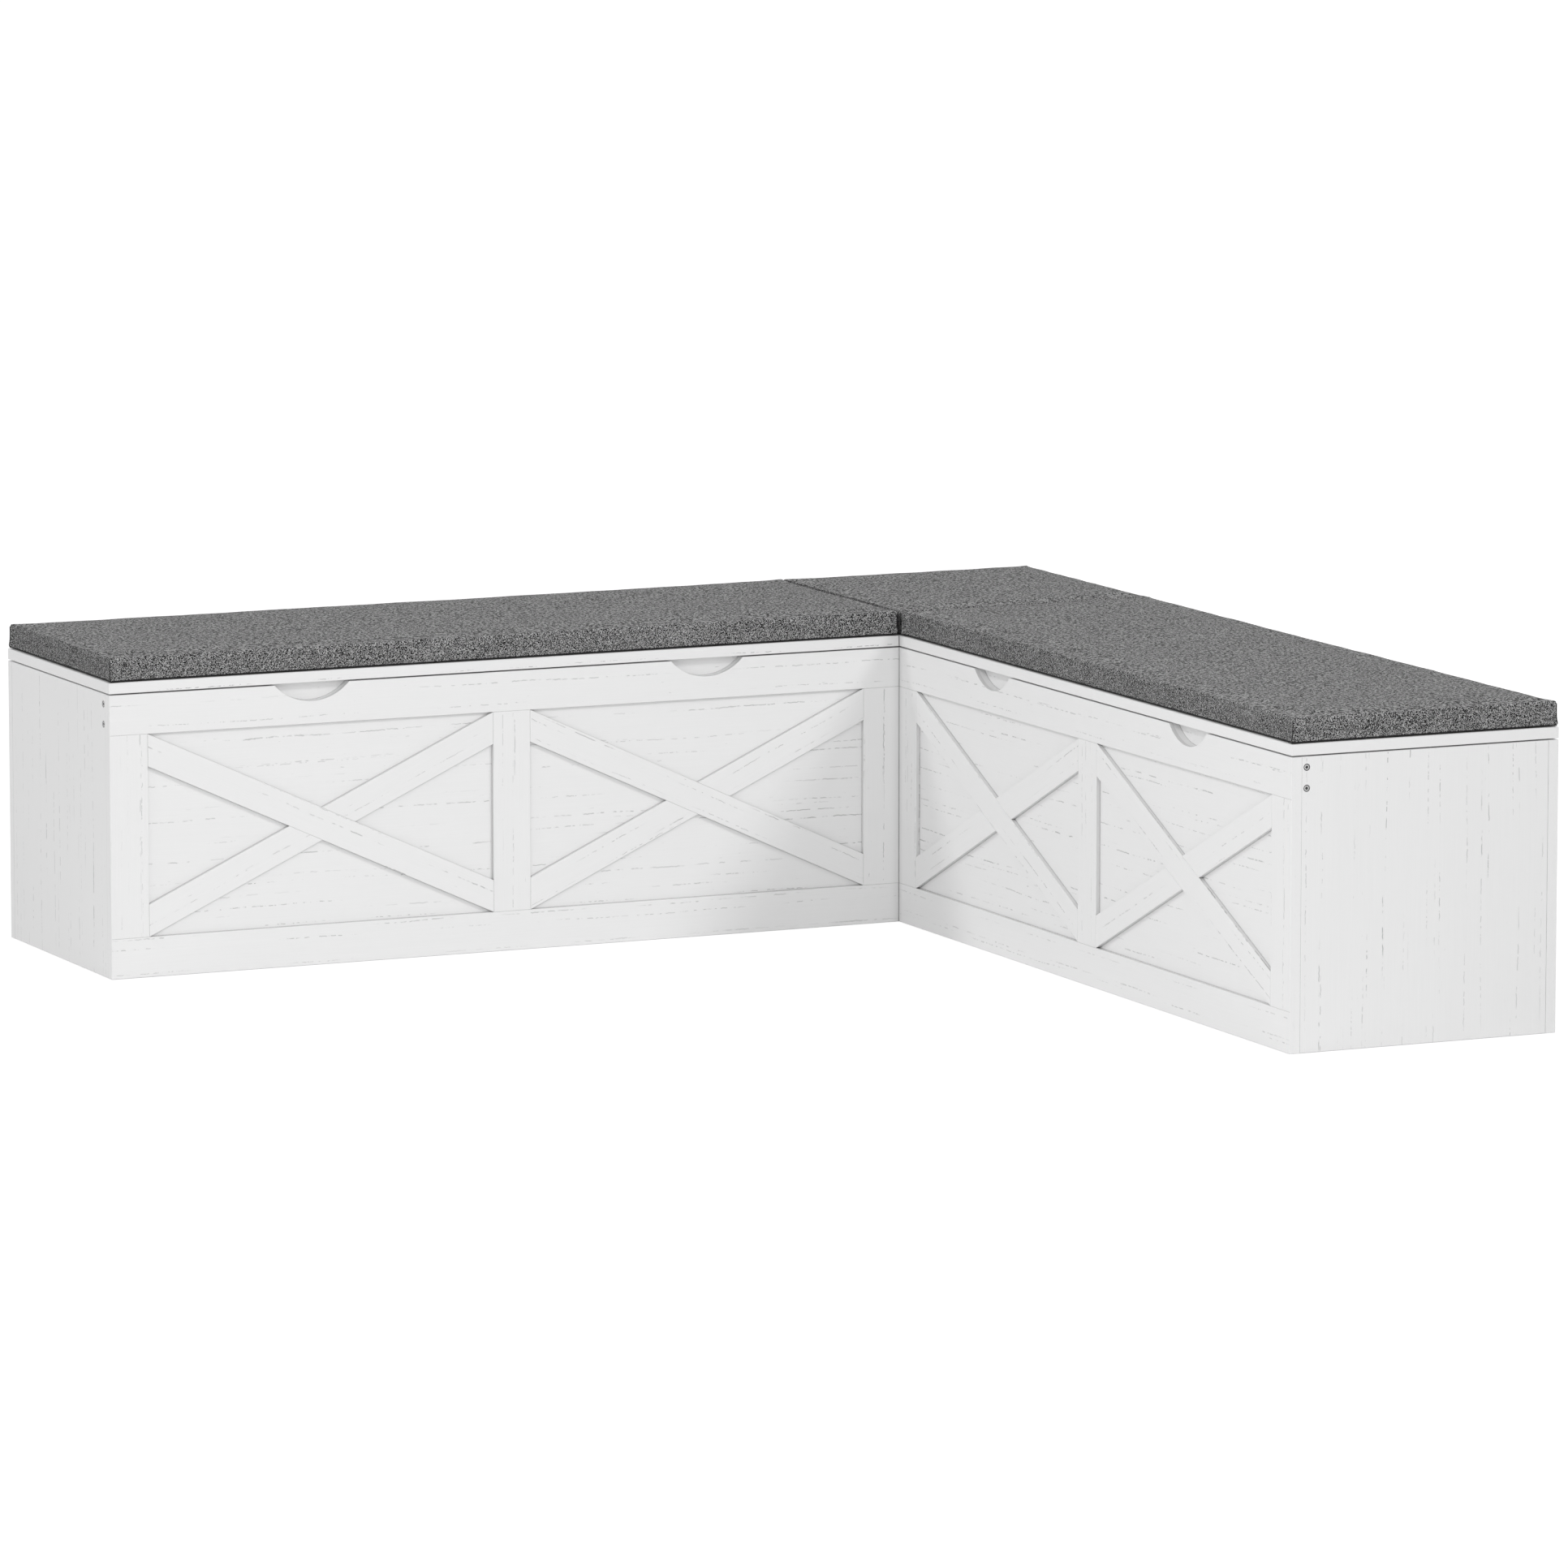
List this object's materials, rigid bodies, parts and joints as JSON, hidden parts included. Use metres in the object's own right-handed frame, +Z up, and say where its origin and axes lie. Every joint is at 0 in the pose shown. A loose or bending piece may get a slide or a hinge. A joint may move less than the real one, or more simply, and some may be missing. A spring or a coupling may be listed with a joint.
{
  "type": "corner storage bench",
  "caption": "L-shaped storage bench of white board with X-braced fronts, hinged lids over storage boxes and dark grey seat cushions.",
  "frame": {"origin": "on the floor under the middle of the bounding box", "axes": "+Z up; +X along the left wing towards the inner corner; +Y from the left wing's front to its back, so the right wing runs towards -Y and its front faces -X"},
  "size_m": [1.6052, 1.6052, 0.45],
  "materials": {
    "white_board": "white wood-grain laminate, satin",
    "raw_batten": "planed softwood",
    "cushion_cloth": "heathered dark grey weave",
    "hook_and_loop": "black hook-and-loop tape",
    "hinge_steel": "zinc plated",
    "screw_steel": "zinc plated",
    "bumper_rubber": "soft, matt"
  },
  "bodies": {
    "carcass": {"corner_bottom_cleats": "raw_batten", "corner_bottom_panel": "white_board", "corner_hinge_box_leaves": "hinge_steel", "corner_left_side": "white_board", "corner_rear_panel": "white_board", "corner_right_panel": "white_board", "corner_right_side": "white_board", "hinge_pins": "hinge_steel", "left_back_panel": "white_board", "left_bottom_cleats": "raw_batten", "left_bottom_panel": "white_board", "left_bottom_rail": "white_board", "left_end_panel_screws": "screw_steel", "left_face_panel": "white_board", "left_hinge_box_leaves": "hinge_steel", "left_inner_end_panel": "white_board", "left_inner_long_brace": "white_board", "left_inner_rail": "white_board", "left_inner_short_braces": "white_board", "left_inner_stile": "white_board", "left_joint_screws": "screw_steel", "left_middle_stile": "white_board", "left_outer_end_panel": "white_board", "left_outer_long_brace": "white_board", "left_outer_short_braces": "white_board", "left_outer_stile": "white_board", "left_top_rail": "white_board", "lid_bumpers": "bumper_rubber", "right_back_panel": "white_board", "right_bottom_cleats": "raw_batten", "right_bottom_panel": "white_board", "right_bottom_rail": "white_board", "right_end_panel_screws": "screw_steel", "right_face_panel": "white_board", "right_hinge_box_leaves": "hinge_steel", "right_inner_end_panel": "white_board", "right_inner_long_brace": "white_board", "right_inner_rail": "white_board", "right_inner_short_braces": "white_board", "right_inner_stile": "white_board", "right_joint_screws": "screw_steel", "right_middle_stile": "white_board", "right_outer_end_panel": "white_board", "right_outer_long_brace": "white_board", "right_outer_short_braces": "white_board", "right_outer_stile": "white_board", "right_top_rail": "white_board"},
    "left_lid_body": {"left_cushion": "cushion_cloth", "left_cushion_strips": "hook_and_loop", "left_hinge_lid_leaves": "hinge_steel", "left_lid": "white_board"},
    "corner_lid_body": {"corner_cushion": "cushion_cloth", "corner_cushion_strips": "hook_and_loop", "corner_hinge_lid_leaves": "hinge_steel", "corner_lid": "white_board"},
    "right_lid_body": {"right_cushion": "cushion_cloth", "right_cushion_strips": "hook_and_loop", "right_hinge_lid_leaves": "hinge_steel", "right_lid": "white_board"}
  },
  "joints": [
    {"name": "left_lid_hinge", "type": "hinge", "parent": "carcass", "child": "left_lid_body", "pos_m": [-0.20265, 0.8002, 0.396], "axis": [-1, 0, 0], "range_deg": [0, 95]},
    {"name": "corner_lid_hinge", "type": "hinge", "parent": "carcass", "child": "corner_lid_body", "pos_m": [0.59735, 0.8002, 0.396], "axis": [-1, 0, 0], "range_deg": [0, 95]},
    {"name": "right_lid_hinge", "type": "hinge", "parent": "carcass", "child": "right_lid_body", "pos_m": [0.8002, -0.20265, 0.396], "axis": [0, 1, 0], "range_deg": [0, 95]}
  ]
}
